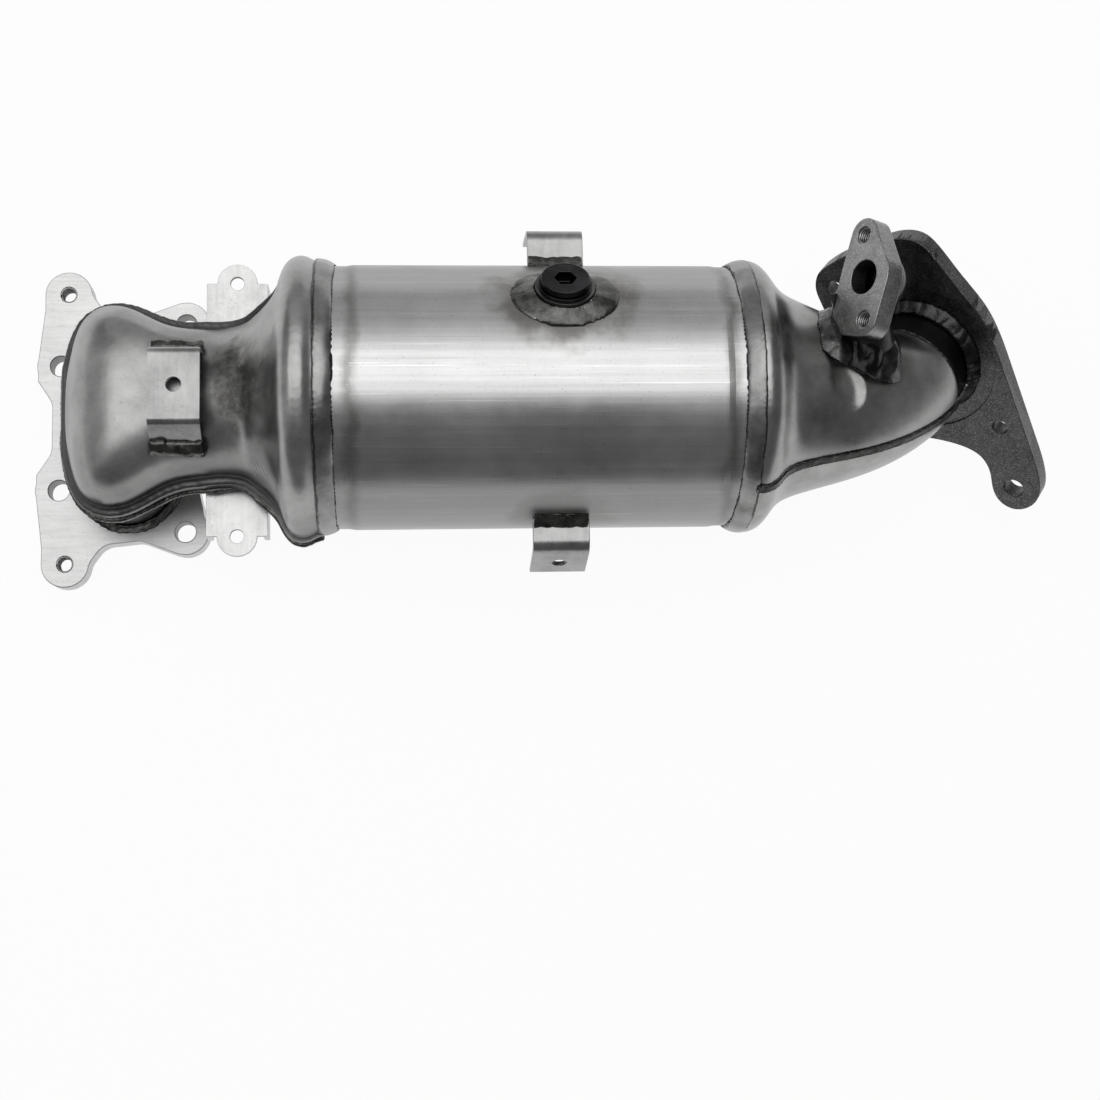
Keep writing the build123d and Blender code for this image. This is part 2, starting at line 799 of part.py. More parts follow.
plug_base = bung_plane.offset(bung_height + washer_thickness)
with BuildPart() as sensor_plug:
    with BuildSketch(plug_base):
        Circle(plug_radius)
    extrude(amount=plug_head)
    with BuildSketch(plug_base):
        Circle(bung_bore / 2 - thread_gap)
    extrude(amount=-plug_shank)
    with BuildSketch(plug_base.offset(plug_head - plug_socket_depth)):
        RegularPolygon(plug_socket / 2, 6, major_radius=False)
    extrude(amount=plug_socket_depth, mode=Mode.SUBTRACT)
sensor_plug.part.label = "sensor_plug"
export_step(sensor_plug.part, "parts/sensor_plug.step")

# heat shield brackets on the can: bent strips, one at each side
shield_bracket_x = 214.2
shield_bracket_width = 27.0
shield_leg_height = 92.0
shield_top_reach = 79.2
shield_bottom_reach = 76.0
shield_tail = 26.0
shield_hole_place = 0.58
shield_bend = 8.0
shield_hole = 7.0


def shield_bracket(side, reach, tail_tilt):
    """Bent strip: a leg on the can, a bend, and a tail with a hole."""
    tail_x = math.sin(math.radians(tail_tilt))
    tail_y = math.cos(math.radians(tail_tilt))
    inner = shield_bend - bracket_gauge
    with BuildPart() as strip:
        with BuildSketch(Plane.YZ.offset(shield_bracket_x - shield_bracket_width / 2)):
            with BuildLine():
                corner = (side * reach, shield_leg_height)
                end = (
                    side * (reach + shield_tail * tail_x),
                    shield_leg_height - shield_tail * tail_y,
                )
                centre_line = FilletPolyline(
                    (side * (can_radius * 0.7), shield_leg_height),
                    corner,
                    end,
                    radius=inner,
                )
                offset(centre_line, amount=bracket_gauge / 2, side=Side.BOTH)
            make_face()
        extrude(amount=shield_bracket_width)
        add(can_filled, mode=Mode.SUBTRACT)
        middle = Vector(
            shield_bracket_x,
            side * (reach + shield_tail * tail_x * shield_hole_place),
            shield_leg_height - shield_tail * tail_y * shield_hole_place,
        )
        hole_plane = Plane(origin=middle, x_dir=(1, 0, 0), z_dir=(0, side * tail_y, tail_x))
        with BuildSketch(hole_plane.offset(-6)):
            Circle(shield_hole / 2)
        extrude(amount=12, mode=Mode.SUBTRACT)
    return strip.part


def shield_bracket_weld(side, strip):
    """Fillet weld along the strip's leg where it stands on the can."""
    leg_face = shield_leg_height + bracket_gauge / 2
    touch = math.sqrt(can_radius**2 - (leg_face - can_axis_height) ** 2)
    with BuildPart() as bead:
        with BuildSketch(Plane.YZ.offset(shield_bracket_x - shield_bracket_width / 2 + 0.5)):
            with BuildLine():
                Polyline(
                    (side * (touch - 6), leg_face),
                    (side * (touch + 4.5), leg_face),
                    (side * (touch + 4.5), leg_face + 0.6),
                    (side * (touch + 1.0), leg_face + 3.2),
                    (side * (touch - 3.0), leg_face + 6.2),
                    close=True,
                )
            make_face()
        extrude(amount=shield_bracket_width - 1)
        add(can_filled, mode=Mode.SUBTRACT)
        add(strip, mode=Mode.SUBTRACT)
    return bead.part.solids().sort_by(SortBy.VOLUME)[-1]


top_bracket = shield_bracket(1, shield_top_reach, 4)
top_bracket.label = "top_bracket"
export_step(top_bracket, "parts/top_bracket.step")
top_bracket_weld = shield_bracket_weld(1, top_bracket)
top_bracket_weld.label = "top_bracket_weld"
export_step(top_bracket_weld, "parts/top_bracket_weld.step")

bottom_bracket = shield_bracket(-1, shield_bottom_reach, 15)
bottom_bracket.label = "bottom_bracket"
export_step(bottom_bracket, "parts/bottom_bracket.step")
bottom_bracket_weld = shield_bracket_weld(-1, bottom_bracket)
bottom_bracket_weld.label = "bottom_bracket_weld"
export_step(bottom_bracket_weld, "parts/bottom_bracket_weld.step")

# bridge bracket on the front inlet shell
bridge_x = 34.3
bridge_width = 24.0
bridge_height = 103.5
bridge_middle = 1.0
bridge_span = 34.0
bridge_leg_drop = 13.0
bridge_top_run = 2.0
bridge_low_run = 9.5
bridge_hole = 7.3
with BuildPart() as inlet_bracket:
    with BuildSketch(Plane.YZ.offset(bridge_x - bridge_width / 2)):
        with BuildLine():
            low_end = bridge_middle - bridge_span / 2
            high_end = bridge_middle + bridge_span / 2
            bridge_line = FilletPolyline(
                (low_end - bridge_low_run, bridge_height - bridge_leg_drop),
                (low_end, bridge_height),
                (high_end, bridge_height),
                (high_end + bridge_top_run, bridge_height - bridge_leg_drop),
                radius=3.0,
            )
            offset(bridge_line, amount=bracket_gauge / 2, side=Side.BOTH)
        make_face()
    extrude(amount=bridge_width)
    add(dome_skin, mode=Mode.SUBTRACT)
    with BuildSketch(Plane.XY.offset(bridge_height - 5)):
        with Locations((bridge_x, bridge_middle)):
            Circle(bridge_hole / 2)
    extrude(amount=10, mode=Mode.SUBTRACT)
inlet_bracket_solid = inlet_bracket.part.solids().sort_by(SortBy.VOLUME)[-1]
inlet_bracket_solid.label = "inlet_bracket"
export_step(inlet_bracket_solid, "parts/inlet_bracket.step")

bridge_bead = 2.6
bridge_bead_skin = inlet_duct(bridge_bead, dome_inset)


def bridge_weld(y_from, y_to):
    """Bead along one foot of the bridge."""
    with BuildPart() as bead:
        with BuildSketch(Plane.XY.offset(bridge_height - 25)):
            with Locations((bridge_x, (y_from + y_to) / 2)):
                Rectangle(bridge_width - 1, abs(y_to - y_from))
        extrude(amount=25)
        add(bridge_bead_skin, mode=Mode.INTERSECT)
        add(dome_skin, mode=Mode.SUBTRACT)
        add(inlet_bracket_solid, mode=Mode.SUBTRACT)
    return bead.part.solids().sort_by(SortBy.VOLUME)[-1]


inlet_bracket_top_weld = bridge_weld(high_end + 1, high_end + 6)
inlet_bracket_top_weld.label = "inlet_bracket_top_weld"
export_step(inlet_bracket_top_weld, "parts/inlet_bracket_top_weld.step")
low_foot = low_end - bridge_low_run
inlet_bracket_low_weld = bridge_weld(low_foot + 1, low_foot - 2.5)
inlet_bracket_low_weld.label = "inlet_bracket_low_weld"
export_step(inlet_bracket_low_weld, "parts/inlet_bracket_low_weld.step")

# two ears on the neck for the heat shield: pressed channels with a round tab
ear_x = 58.8
ear_width = 30.0
ear_face = 56.0
ear_hole_y = 63.5
ear_hole = 6.8
ear_tab = 9.8
ear_fold = 14.0
ear_gauge = 2.5
ear_bead = 2.6
ear_bead_skin = inlet_duct(ear_bead)


def neck_ear(side):
    """One ear: plate, two folded sides and a round tab with its hole."""
    with BuildPart() as ear:
        with BuildSketch(Plane.XY.offset(ear_face - ear_gauge)):
            with Locations((ear_x, side * (ear_hole_y / 2 + 10))):
                Rectangle(ear_width, ear_hole_y - 20)
            with Locations((ear_x, side * ear_hole_y)):
                Circle(ear_tab)
        extrude(amount=ear_gauge)
        with BuildSketch(Plane.XY.offset(ear_face - ear_fold)):
            for edge in (-1, 1):
                with Locations((ear_x + edge * (ear_width - ear_gauge) / 2, side * (ear_hole_y / 2 + 10))):
                    Rectangle(ear_gauge, ear_hole_y - 20)
        extrude(amount=ear_fold)
        with BuildSketch(Plane.XY.offset(ear_face - ear_gauge)):
            with Locations((ear_x, side * ear_hole_y)):
                Circle(ear_hole / 2)
        extrude(amount=ear_gauge, mode=Mode.SUBTRACT)
        add(duct_skin, mode=Mode.SUBTRACT)
    outer = ear.part.solids().sort_by(SortBy.VOLUME)[-1]
    return outer


def neck_ear_weld(side, ear):
    """Bead along the back of the ear's plate, on the rear shell."""
    with BuildPart() as bead:
        with BuildSketch(Plane.XY.offset(ear_face - ear_gauge - 3.2)):
            with Locations((ear_x, side * 45)):
                Rectangle(ear_width - 2 * ear_gauge - 1, 40)
        extrude(amount=3.2)
        add(ear_bead_skin, mode=Mode.INTERSECT)
        add(duct_skin, mode=Mode.SUBTRACT)
        add(ear, mode=Mode.SUBTRACT)
    return bead.part.solids().sort_by(SortBy.VOLUME)[-1]


upper_ear = neck_ear(1)
upper_ear.label = "neck_ear_upper"
export_step(upper_ear, "parts/neck_ear_upper.step")
upper_ear_weld = neck_ear_weld(1, upper_ear)
upper_ear_weld.label = "neck_ear_upper_weld"
export_step(upper_ear_weld, "parts/neck_ear_upper_weld.step")

lower_ear = neck_ear(-1)
lower_ear.label = "neck_ear_lower"
export_step(lower_ear, "parts/neck_ear_lower.step")
lower_ear_weld = neck_ear_weld(-1, lower_ear)
lower_ear_weld.label = "neck_ear_lower_weld"
export_step(lower_ear_weld, "parts/neck_ear_lower_weld.step")
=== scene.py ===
import json
import math

import bpy
from mathutils import Matrix, Vector, noise as field
from mathutils.bvhtree import BVHTree


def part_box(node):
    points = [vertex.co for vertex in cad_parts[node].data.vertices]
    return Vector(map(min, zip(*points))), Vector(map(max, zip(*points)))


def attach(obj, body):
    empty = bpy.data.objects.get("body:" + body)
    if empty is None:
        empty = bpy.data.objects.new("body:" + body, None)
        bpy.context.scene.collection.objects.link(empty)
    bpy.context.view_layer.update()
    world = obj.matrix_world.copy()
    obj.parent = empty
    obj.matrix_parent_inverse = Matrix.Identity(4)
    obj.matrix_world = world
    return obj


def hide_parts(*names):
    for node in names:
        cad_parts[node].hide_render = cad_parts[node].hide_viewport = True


# Manifold catalytic converter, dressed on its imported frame. Metres, +Z up.
# +X runs along the can from the inlet box to the outlet flange.
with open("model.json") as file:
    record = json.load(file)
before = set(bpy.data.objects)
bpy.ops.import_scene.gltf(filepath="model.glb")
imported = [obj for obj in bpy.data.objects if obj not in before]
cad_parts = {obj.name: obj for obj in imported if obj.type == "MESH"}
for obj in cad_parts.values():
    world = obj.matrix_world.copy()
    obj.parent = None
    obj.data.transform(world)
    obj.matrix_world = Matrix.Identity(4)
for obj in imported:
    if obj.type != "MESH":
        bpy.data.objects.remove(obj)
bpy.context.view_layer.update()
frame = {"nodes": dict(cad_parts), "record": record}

# Inlet flange. A steel plate, laser cut and then ground flat on both faces, with
# four stud holes and two tapped holes at its ends. Its edges are broken by a
# file, and the walls of its holes are painted darker, as painted shade inside them.
crisp_angle = math.radians(35)
flat_angle = math.radians(1)
doubles_gap = 1e-6
bump_depth = 0.0004
ragged_share = 1.4
plate_hole_reach = 0.0072
wall_normal_z = 0.4
mounts = {mount["name"]: mount for mount in frame["record"]["mounts"]}


def new_material(name):
    """Empty node material with its Principled shader."""
    material = bpy.data.materials.new(name)
    material.use_nodes = True
    return material, material.node_tree, material.node_tree.nodes["Principled BSDF"]


def noise(tree, scale, detail=4.0, rough=0.55):
    """Noise in object space; scale is per metre along X, Y and Z."""
    source = tree.nodes.new("ShaderNodeTexCoord")
    mapping = tree.nodes.new("ShaderNodeMapping")
    mapping.inputs["Scale"].default_value = scale
    tree.links.new(source.outputs["Object"], mapping.inputs["Vector"])
    texture = tree.nodes.new("ShaderNodeTexNoise")
    texture.inputs["Scale"].default_value = 1.0
    texture.inputs["Detail"].default_value = detail
    texture.inputs["Roughness"].default_value = rough
    tree.links.new(mapping.outputs["Vector"], texture.inputs["Vector"])
    return texture.outputs["Fac"]


def ramp(tree, value, stops):
    """Grey ramp; each stop is a place and a grey."""
    node = tree.nodes.new("ShaderNodeValToRGB")
    for element, (place, grey) in zip(node.color_ramp.elements, stops):
        element.position = place
        element.color = (grey, grey, grey, 1)
    tree.links.new(value, node.inputs["Fac"])
    return node.outputs["Color"]


def mixed(tree, factor, first, second, blend="MIX"):
    """Two colours mixed; factor is a number or a socket."""
    node = tree.nodes.new("ShaderNodeMix")
    node.data_type = "RGBA"
    node.blend_type = blend
    for socket, value in ((node.inputs[0], factor), (node.inputs[6], first), (node.inputs[7], second)):
        if isinstance(value, bpy.types.NodeSocket):
            tree.links.new(value, socket)
        elif isinstance(value, tuple):
            socket.default_value = (*value, 1)
        else:
            socket.default_value = value
    return node.outputs[2]


def maths(tree, operation, first, second=0.0, clamp=False):
    """One step of arithmetic."""
    node = tree.nodes.new("ShaderNodeMath")
    node.operation = operation
    node.use_clamp = clamp
    for socket, value in zip(node.inputs, (first, second)):
        if isinstance(value, bpy.types.NodeSocket):
            tree.links.new(value, socket)
        else:
            socket.default_value = value
    return node.outputs[0]


def swing(tree, value, reach):
    """A value from 0 to 1, turned into a swing of that reach round 0."""
    return maths(tree, "MULTIPLY", maths(tree, "SUBTRACT", value, 0.5), reach)


def stained(tree, colour, where, strength, stain):
    """The colour with a stain over it; where runs from 0 to 1."""
    return mixed(tree, maths(tree, "MULTIPLY", where, strength), colour, stain)


def smooth_fall(tree, value, start, end):
    """1 where the value is at start, 0 where it is at end, eased between."""
    fall = tree.nodes.new("ShaderNodeMapRange")
    fall.interpolation_type = "SMOOTHSTEP"
    fall.inputs["From Min"].default_value = end
    fall.inputs["From Max"].default_value = start
    tree.links.new(value, fall.inputs["Value"])
    return fall.outputs["Result"]


def spot(tree, centre, radius, soft, wobble, stretch=(1, 1, 1)):
    """1 inside a soft blob round a point, 0 outside; wobble roughens its edge."""
    source = tree.nodes.new("ShaderNodeTexCoord")
    shift = tree.nodes.new("ShaderNodeMapping")
    shift.inputs["Scale"].default_value = stretch
    shift.inputs["Location"].default_value = [-c * s for c, s in zip(centre, stretch)]
    tree.links.new(source.outputs["Object"], shift.inputs["Vector"])
    length = tree.nodes.new("ShaderNodeVectorMath")
    length.operation = "LENGTH"
    tree.links.new(shift.outputs["Vector"], length.inputs[0])
    distance = maths(tree, "ADD", length.outputs["Value"], swing(tree, wobble, radius * ragged_share))
    return smooth_fall(tree, distance, max(radius - soft, 0.0), radius + soft)


def height_along(tree, origin, direction):
    """Distance of a point from a plane, along the plane's direction."""
    source = tree.nodes.new("ShaderNodeTexCoord")
    offset = tree.nodes.new("ShaderNodeVectorMath")
    offset.operation = "SUBTRACT"
    offset.inputs[1].default_value = origin
    tree.links.new(source.outputs["Object"], offset.inputs[0])
    product = tree.nodes.new("ShaderNodeVectorMath")
    product.operation = "DOT_PRODUCT"
    product.inputs[1].default_value = direction
    tree.links.new(offset.outputs["Vector"], product.inputs[0])
    return product.outputs["Value"]


def band(tree, value, centre, half_width, soft):
    """1 in a narrow band of the value, 0 elsewhere."""
    distance = maths(tree, "ABSOLUTE", maths(tree, "SUBTRACT", value, centre))
    return smooth_fall(tree, distance, max(half_width - soft, 0.0), half_width + soft)


def bump(tree, shader, heights, distance):
    """Chain of bumps; each height is a socket and a strength."""
    last = None
    for height, strength in heights:
        node = tree.nodes.new("ShaderNodeBump")
        node.inputs["Strength"].default_value = strength
        node.inputs["Distance"].default_value = distance
        tree.links.new(height, node.inputs["Height"])
        if last is not None:
            tree.links.new(last, node.inputs["Normal"])
        last = node.outputs["Normal"]
    tree.links.new(last, shader.inputs["Normal"])


def metal(name, low, high, roughness, grain, grain_bump=0.15, cloud=28.0, cloud_bump=0.1, marks=None):
    """Worn steel: clouded colour, directional grain, fine specks, uneven roughness.

    low and high are the darkest and the lightest colour; grain (along X, Y and Z)
    and cloud are how many there are to a metre; marks adds what that piece shows.
    """
    material, tree, shader = new_material(name)
    shader.inputs["Metallic"].default_value = 1.0
    clouds = noise(tree, (cloud, cloud, cloud), detail=6.0, rough=0.62)
    lines = noise(tree, grain, detail=3.0, rough=0.6)
    specks = noise(tree, (900, 900, 900), detail=2.0, rough=0.7)
    colour = mixed(tree, ramp(tree, clouds, ((0.32, 0.0), (0.68, 1.0))), low, high)
    streaks = ramp(tree, lines, ((0.3, 0.86), (0.7, 1.0)))
    colour = mixed(tree, 1.0, colour, streaks, "MULTIPLY")
    dirt = ramp(tree, specks, ((0.27, 0.62), (0.36, 1.0)))
    colour = mixed(tree, 1.0, colour, dirt, "MULTIPLY")
    if marks is not None:
        colour = marks(tree, colour)
    rough = maths(tree, "ADD", swing(tree, clouds, 0.3), roughness, clamp=True)
    tree.links.new(rough, shader.inputs["Roughness"])
    tree.links.new(colour, shader.inputs["Base Color"])
    bump(tree, shader, ((lines, grain_bump), (clouds, cloud_bump)), bump_depth)
    return material


def dress(node, material):
    """Gives a carried-over piece its finish."""
    piece = frame["nodes"][node]
    piece.data.materials.clear()
    piece.data.materials.append(material)


def pick(piece):
    """Makes one piece the only selected and active one."""
    bpy.ops.object.select_all(action="DESELECT")
    piece.select_set(True)
    bpy.context.view_layer.objects.active = piece


def joined_copy(node, name, material):
    """Copy of a node with its loose triangles merged; it stands for the node."""
    piece = bpy.data.objects.new(name, frame["nodes"][node].data.copy())
    bpy.context.collection.objects.link(piece)
    pick(piece)
    bpy.ops.mesh.customdata_custom_splitnormals_clear()
    bpy.ops.object.mode_set(mode="EDIT")
    bpy.ops.mesh.select_all(action="SELECT")
    bpy.ops.mesh.remove_doubles(threshold=doubles_gap)
    bpy.ops.object.mode_set(mode="OBJECT")
    piece.data.materials.clear()
    piece.data.materials.append(material)
    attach(piece, "root")
    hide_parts(node)
    return piece


def finish_with(piece, name, kind, **settings):
    """Adds one modifier and applies it."""
    modifier = piece.modifiers.new(name, kind)
    for setting, value in settings.items():
        setattr(modifier, setting, value)
    pick(piece)
    bpy.ops.object.modifier_apply(modifier=name)


def broken_edges(node, material, width):
    """Plate or strip with every sheared or machined edge broken by a small round."""
    piece = joined_copy(node, node + "_dressed", material)
    bpy.ops.object.mode_set(mode="EDIT")
    bpy.ops.mesh.dissolve_limited(angle_limit=flat_angle)
    bpy.ops.object.mode_set(mode="OBJECT")
    bpy.ops.object.shade_smooth_by_angle(angle=crisp_angle)
    finish_with(
        piece, "broken_edge", "BEVEL", width=width, segments=2,
        limit_method="ANGLE", angle_limit=crisp_angle, harden_normals=True,
    )
    return piece


def hole_centres(prefix):
    """Centres of the holes of the record's mounts whose names start so.

    The record gives a pair's spacing in millimetres, so half of it in metres is
    the spacing over 2000.
    """
    centres = []
    for name, mount in mounts.items():
        if name.startswith(prefix):
            half = Vector((0, mount["dims"].get("spacing_y_mm", 0) / 2000, 0))
            centres += [Vector(mount["pos_m"]) + half, Vector(mount["pos_m"]) - half]
    return centres


# Painted shade: the walls of holes get this darker finish, for the shade inside them.
hole_wall_shade_finish = metal(
    "hole_wall_painted_shade", low=(0.13, 0.13, 0.128), high=(0.26, 0.26, 0.255), roughness=0.42,
    grain=(700, 700, 60), grain_bump=0.2, cloud=60.0,
)


def shade_hole_walls(piece, centres, reach):
    """Hole walls are painted darker out to that reach, as painted shade inside the holes."""
    piece.data.materials.append(hole_wall_shade_finish)
    for face in piece.data.polygons:
        near = min((face.center - centre).xy.length for centre in centres) < reach
        face.material_index = int(near and abs(face.normal.z) < wall_normal_z)


flange_finish = metal(
    "ground_plate", low=(0.47, 0.47, 0.467), high=(0.62, 0.62, 0.616), roughness=0.36,
    grain=(60, 700, 60), grain_bump=0.12, cloud=45.0,
)
shade_hole_walls(
    broken_edges("inlet_flange", flange_finish, width=0.0008),
    hole_centres("inlet_studs") + hole_centres("inlet_tapped"), plate_hole_reach,
)

# Inlet shells. Two stainless pressings, drawn in a die and lapped: the front one
# is the domed box over the port, the rear one carries the throat. Painted shade
# darkens the dome toward its rim, dirt and painted shade its corner; heat has tinted the neck.
seam_lean = math.radians(13.2)
seam_origin = (0.095, 0.0, 0.078)
seam_up = (-math.sin(seam_lean), 0.0, math.cos(seam_lean))
rim_height = 0.0031
rim_shade_height = 0.026
heat_patch = (0.064, 0.004, 0.099)
heat_radius = 0.015
heat_shape = (1.15, 0.72, 0.3)
chatter_place = (0.072, -0.041, 0.094)
chatter_radius = 0.0075
chatter_way = (0.95, 0.25, 0.2)
chatter_angle = 3400.0
chatter_strength = 0.7
half_way = 0.5


def pressed_sheet(name, marks):
    """Drawn stainless sheet, satin grey; marks adds what that shell shows."""
    return metal(
        name, low=(0.25, 0.25, 0.247), high=(0.45, 0.45, 0.446), roughness=0.31,
        grain=(90, 130, 130), grain_bump=0.05, cloud=38.0, cloud_bump=0.16, marks=marks,
    )


def inlet_marks(tree, colour):
    """Painted shade toward the rim, dirt and painted shade in its corner, heat tint beside the bracket,
    chatter of the die.
    """
    uneven = noise(tree, (260, 260, 260), detail=3.0)
    height = maths(tree, "ADD", height_along(tree, seam_origin, seam_up), swing(tree, uneven, 0.0008))
    # Painted shade: the dome is darkened toward the rim, where its walls turn from the light.
    rim_shade = smooth_fall(tree, height, rim_height, rim_height + rim_shade_height)
    colour = stained(tree, colour, rim_shade, strength=0.78, stain=(0.09, 0.09, 0.089))
    # A dark line in the corner between dome and rim: dirt, and painted shade in the crease.
    corner = band(tree, height, rim_height, half_width=0.0007, soft=0.0006)
    colour = stained(tree, colour, corner, strength=0.8, stain=(0.04, 0.04, 0.039))
    ragged = noise(tree, (110, 110, 110), detail=6.0, rough=0.7)
    tint = spot(tree, heat_patch, heat_radius, soft=0.0045, wobble=ragged, stretch=heat_shape)
    mottle = ramp(tree, noise(tree, (240, 240, 240), detail=5.0, rough=0.7), ((0.40, 0.45), (0.58, 1.0)))
    colour = stained(tree, colour, tint, strength=mottle, stain=(0.14, 0.137, 0.132))
    chatter = spot(tree, chatter_place, chatter_radius, soft=0.003, wobble=uneven)
    angle = maths(tree, "MULTIPLY", height_along(tree, chatter_place, chatter_way), chatter_angle)
    waves = maths(tree, "MULTIPLY", maths(tree, "SINE", angle), chatter)
    waves = maths(tree, "MULTIPLY", waves, chatter_strength, clamp=True)
    return mixed(tree, waves, colour, (0.07, 0.07, 0.069))


def even_skin(piece, grain, rounds):
    """Remeshes the piece evenly and softens it by rounds of smoothing."""
    finish_with(piece, "skin", "REMESH", mode="VOXEL", voxel_size=grain, use_smooth_shade=True)
    finish_with(piece, "flow", "SMOOTH", factor=half_way, iterations=rounds)


def drawn_shell(node, material, grain):
    """Pressing with the soft edges that drawing leaves."""
    piece = joined_copy(node, node + "_drawn", material)
    even_skin(piece, grain, rounds=10)
    return piece


box_finish = pressed_sheet("pressed_box", inlet_marks)
drawn_shell("inlet_shell_front", box_finish, grain=0.0010)
dress("inlet_shell_rear", box_finish)

# Seams of the inlet box and the throat. Filler laid by hand in one pass: each
# ripple is where the pool froze. The metal is dark and glossy, with bright specks.
box_middle = 0.04
box_reach = 0.075
wander_pitch = 160
wander_share = 0.35
curl_share = 0.55
crest_middle = 0.6
lump_offset = Vector((3, 1, 7))


def bead_metal(name, low, high, roughness=0.26, marks=None):
    """Filler metal: scaled dark between bright, smooth crests."""

    def crests(tree, colour):
        sparks = noise(tree, (620, 620, 620), detail=1.0)
        bright = ramp(tree, sparks, ((0.74, 0.0), (0.80, 0.7)))
        colour = mixed(tree, bright, colour, (0.78, 0.77, 0.75))
        return colour if marks is None else marks(tree, colour)

    return metal(
        name, low, high, roughness,
        grain=(500, 500, 500), grain_bump=0.25, cloud=210.0, cloud_bump=0.4, marks=crests,
    )


def smooth_step(value):
    """0 below 0, 1 above 1, eased between."""
    value = max(0.0, min(1.0, value))
    return value * value * (3 - 2 * value)


def rippled_bead(node, material, place_of, step, height, lump, grain=0.0005, swell=0.0, pitch=150):
    """Bead of filler in its node's form, with ripples and lumps raised in the mesh.

    place_of gives a point's way along the bead in metres, and -1 to 1 across it;
    step and height are one ripple's, lump is how far the lumps stand out, and
    pitch is how many there are to a metre. swell fattens the whole bead.
    """
    piece = joined_copy(node, node + "_bead", material)
    even_skin(piece, grain, rounds=6)
    raised = []
    for vertex in piece.data.vertices:
        way, across = place_of(vertex.co)
        wander = field.noise(vertex.co * wander_pitch)
        phase = way / step + curl_share * across * across + wander_share * wander
        part = phase - math.floor(phase)
        crest = 1 - (2 * part - 1) ** 2
        lumps = lump * field.noise(vertex.co * pitch + lump_offset)
        rise = swell + height * (crest - crest_middle) + lumps
        raised.append(vertex.co + vertex.normal * rise)
    for vertex, place in zip(piece.data.vertices, raised):
        vertex.co = place
    return piece


def round_the_box(point):
    """Way round the inlet box, seen from above."""
    return math.atan2(point.y, point.x - box_middle) * box_reach, 0.0


dark_filler = bead_metal("dark_filler", low=(0.045, 0.045, 0.043), high=(0.15, 0.149, 0.145))
rippled_bead(
    "inlet_seam_weld", dark_filler, round_the_box, step=0.0030, height=0.0002, lump=0.0003, grain=0.0007,
)
# This bead lies under the box's overhang; its dark filler is its scale and also painted shade there.
rippled_bead(
    "inlet_flange_weld", dark_filler, round_the_box, step=0.0040, height=0.0004, lump=0.0006, grain=0.0009,
)

# Bridge bracket and neck ears. Strips of bright stainless, sheared, bent and
# punched, each foot fixed by a short bead. They hold the heat shield.
ear_hole_reach = 0.0050
strip_finish = metal(
    "satin_strip", low=(0.26, 0.26, 0.258), high=(0.42, 0.42, 0.416), roughness=0.30,
    grain=(500, 40, 500), grain_bump=0.12, cloud=70.0, cloud_bump=0.2,
)
ear_finish = metal(
    "bright_ear", low=(0.42, 0.42, 0.417), high=(0.64, 0.64, 0.635), roughness=0.32,
    grain=(500, 40, 500), grain_bump=0.12, cloud=60.0,
)
broken_edges("inlet_bracket", strip_finish, width=0.0006)
# The ears' hole walls take the same painted shade.
for ear in ("neck_ear_upper", "neck_ear_lower"):
    shade_hole_walls(broken_edges(ear, ear_finish, width=0.0005), hole_centres("ear_hole"), ear_hole_reach)


def along_can(point):
    """Way along X, for beads that run with the can."""
    return point.x, 0.0


rippled_bead(
    "inlet_bracket_top_weld", dark_filler, along_can,
    step=0.0060, height=0.0004, lump=0.0012, grain=0.0004, swell=0.0005,
)
rippled_bead(
    "inlet_bracket_low_weld", dark_filler, along_can,
    step=0.0060, height=0.0005, lump=0.0014, grain=0.0004, swell=0.0020,
)
for node in ("neck_ear_upper_weld", "neck_ear_lower_weld"):
    rippled_bead(node, dark_filler, along_can, step=0.0030, height=0.0004, lump=0.0004)

# Can. Rolled stainless sheet, brushed lengthwise, closed by a seam underneath.
# Heat from the bung and from the bracket feet has darkened the sheet round them,
# and its flanks below the top are painted darker, as painted shade.
can_low, can_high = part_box("can_body")
axis_height = (can_low[2] + can_high[2]) / 2
plug_low, plug_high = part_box("sensor_plug")
bung_x, bung_y, bung_z = [(low + high) / 2 for low, high in zip(plug_low, plug_high)]
bung_out = Vector((0, bung_y, bung_z - axis_height)).normalized()
can_surface = 0.0635
bung_place = Vector((bung_x, 0, axis_height)) + bung_out * can_surface
bung_halo = 0.027
foot_level = 0.0925
foot_reach = math.sqrt(can_surface**2 - (foot_level - axis_height) ** 2)
foot_halo = 0.022
inlet_tint_inset = 0.0215
outlet_tint_inset = 0.0170


